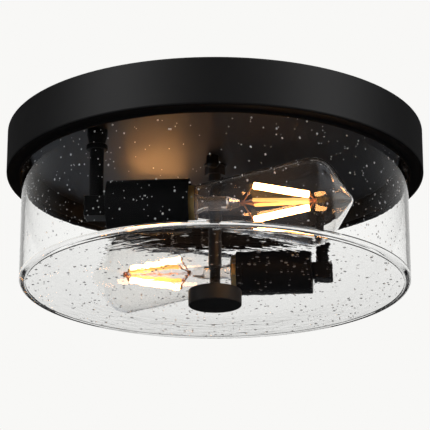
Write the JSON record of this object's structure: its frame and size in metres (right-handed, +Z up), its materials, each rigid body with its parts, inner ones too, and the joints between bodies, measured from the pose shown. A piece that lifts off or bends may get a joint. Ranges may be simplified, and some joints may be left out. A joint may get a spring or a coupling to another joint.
{
  "type": "flush mount ceiling light",
  "caption": "Flush mount ceiling light: a black round pan, a clear seeded glass drum held up by a centre knob, and bare filament bulbs lying head to tail inside.",
  "frame": {"origin": "centre of the face that meets the ceiling, midway between the mounting strap's two slots", "axes": "+Z up into the ceiling, the strap along Y, the lamps along X with the front lamp at -Y pointing to +X"},
  "size_m": [0.305, 0.305, 0.1296],
  "materials": {
    "black_metal": "satin black powder coat with a fine grain",
    "steel": "zinc plated steel",
    "green_screw": "green earthing screw",
    "gasket_rubber": "matt black foam rubber",
    "clear_silicone": "translucent silicone",
    "seeded_glass": "clear glass full of small air bubbles",
    "bulb_clear_glass": "thin clear bulb glass",
    "socket_resin": "black moulded phenolic",
    "brass": "plain brass sheet",
    "lead_cover": "black lead insulation",
    "bulb_insulator": "black glass insulator",
    "solder": "dull solder button",
    "filament": "warm lit phosphor coat",
    "copper_wire": "bare coppery wire"
  },
  "bodies": {
    "fixture": {"arm_collar_front": "black_metal", "arm_collar_rear": "black_metal", "arm_coupling_front": "black_metal", "arm_coupling_rear": "black_metal", "arm_lock_nuts": "black_metal", "arm_nipple_front": "black_metal", "arm_nipple_rear": "black_metal", "arm_tube_front": "black_metal", "arm_tube_rear": "black_metal", "canopy_cap_nuts": "black_metal", "canopy_studs": "steel", "ceiling_pan": "black_metal", "centre_contact_front": "brass", "centre_contact_rear": "brass", "centre_rod": "black_metal", "elbow_block_front": "black_metal", "elbow_block_rear": "black_metal", "ground_screw": "green_screw", "lamp_leads_front": "lead_cover", "lamp_leads_rear": "lead_cover", "mounting_strap": "steel", "rod_nuts": "black_metal", "rod_sleeve": "black_metal", "rod_washers": "black_metal", "screw_shell_front": "brass", "screw_shell_rear": "brass", "shade_gasket": "gasket_rubber", "socket_body_front": "socket_resin", "socket_body_rear": "socket_resin", "socket_lock_nut_front": "steel", "socket_lock_nut_rear": "steel", "socket_lock_washer_front": "steel", "socket_lock_washer_rear": "steel", "socket_nipple_front": "steel", "socket_nipple_rear": "steel", "socket_sleeve_front": "black_metal", "socket_sleeve_rear": "black_metal"},
    "shade": {"glass_shade": "seeded_glass", "shade_washer": "clear_silicone"},
    "knob_washer": {"knob_washer": "steel"},
    "knob": {"finial_knob": "black_metal"},
    "front_bulb_contact": {"bulb_contact_front": "solder"},
    "front_bulb": {"bulb_glass_front": "bulb_clear_glass", "bulb_base_front": "brass", "bulb_insulator_front": "bulb_insulator", "bulb_stem_front": "bulb_clear_glass", "bulb_filaments_front": "filament", "filament_supports_front": "copper_wire"},
    "rear_bulb_contact": {"bulb_contact_rear": "solder"},
    "rear_bulb": {"bulb_glass_rear": "bulb_clear_glass", "bulb_base_rear": "brass", "bulb_insulator_rear": "bulb_insulator", "bulb_stem_rear": "bulb_clear_glass", "bulb_filaments_rear": "filament", "filament_supports_rear": "copper_wire"}
  },
  "joints": [
    {"name": "shade_drop", "type": "slide", "parent": "fixture", "child": "shade", "axis": [0, 0, -1], "range_m": [0, 0.14]},
    {"name": "knob_travel", "type": "slide", "parent": "shade", "child": "knob_washer", "axis": [0, 0, -1], "range_m": [0, 0.0069]},
    {"name": "knob_turn", "type": "hinge", "parent": "knob_washer", "child": "knob", "pos_m": [0, 0, -0.124], "axis": [0, 0, -1], "range_deg": [0, 1990]},
    {"name": "front_bulb_travel", "type": "slide", "parent": "fixture", "child": "front_bulb_contact", "axis": [1, 0, 0], "range_m": [0, 0.004]},
    {"name": "front_bulb_turn", "type": "hinge", "parent": "front_bulb_contact", "child": "front_bulb", "pos_m": [0, -0.078, -0.079], "axis": [1, 0, 0], "range_deg": [0, 397]},
    {"name": "rear_bulb_travel", "type": "slide", "parent": "fixture", "child": "rear_bulb_contact", "axis": [-1, 0, 0], "range_m": [0, 0.004]},
    {"name": "rear_bulb_turn", "type": "hinge", "parent": "rear_bulb_contact", "child": "rear_bulb", "pos_m": [0, 0.078, -0.079], "axis": [-1, 0, 0], "range_deg": [0, 397]}
  ],
  "couplings": [
    {"joint": "knob_turn", "follows": "knob_travel", "rad_per_m": 5026.5},
    {"joint": "front_bulb_turn", "follows": "front_bulb_travel", "rad_per_m": 1730.9},
    {"joint": "rear_bulb_turn", "follows": "rear_bulb_travel", "rad_per_m": 1730.9}
  ]
}
